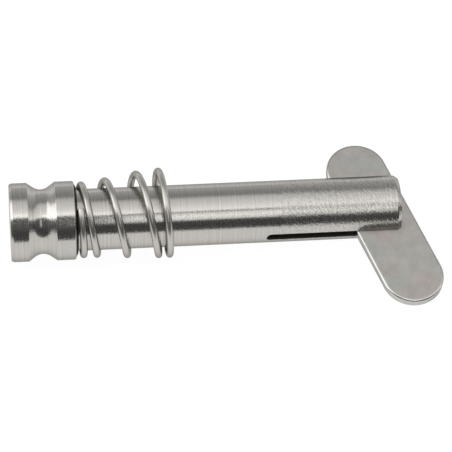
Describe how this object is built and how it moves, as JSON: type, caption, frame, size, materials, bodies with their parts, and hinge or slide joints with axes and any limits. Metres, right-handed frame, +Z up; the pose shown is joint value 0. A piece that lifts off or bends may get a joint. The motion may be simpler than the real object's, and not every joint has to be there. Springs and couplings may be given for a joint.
{
  "type": "quick-release toggle pin",
  "caption": "Stainless quick-release toggle pin: grooved head, slotted shank, swinging toggle plate at the tip and a coil spring that holds the pin tight in its holes.",
  "frame": {"origin": "on the shank's axis, at the plane of the head's shoulder", "axes": "+X along the shank towards the tip; +Z up with the pin lying on its side, and the axis that the toggle swings about"},
  "size_m": [0.0655, 0.0285, 0.0139],
  "materials": {
    "turned_steel": "bright turned stainless bar, cross-ground towards the tip",
    "rivet_steel": "stainless rivet dressed flush with the shank",
    "plate_steel": "tumbled satin grey stainless plate",
    "spring_wire": "bright drawn stainless spring wire"
  },
  "bodies": {
    "pin": {"pin_body": "turned_steel", "pivot_pin": "rivet_steel"},
    "toggle": {"toggle": "plate_steel"},
    "spring": {"spring": "spring_wire"}
  },
  "joints": [
    {"name": "toggle_swing", "type": "hinge", "parent": "pin", "child": "toggle", "pos_m": [0.0462, 0, 0], "axis": [0, 0, 1], "range_deg": [-82.5, 224.5]},
    {"name": "spring_press", "type": "slide", "parent": "pin", "child": "spring", "axis": [-1, 0, 0], "range_m": [0, 0.008], "stiffness_N_per_m": 2400, "deforming": ["spring"]}
  ]
}
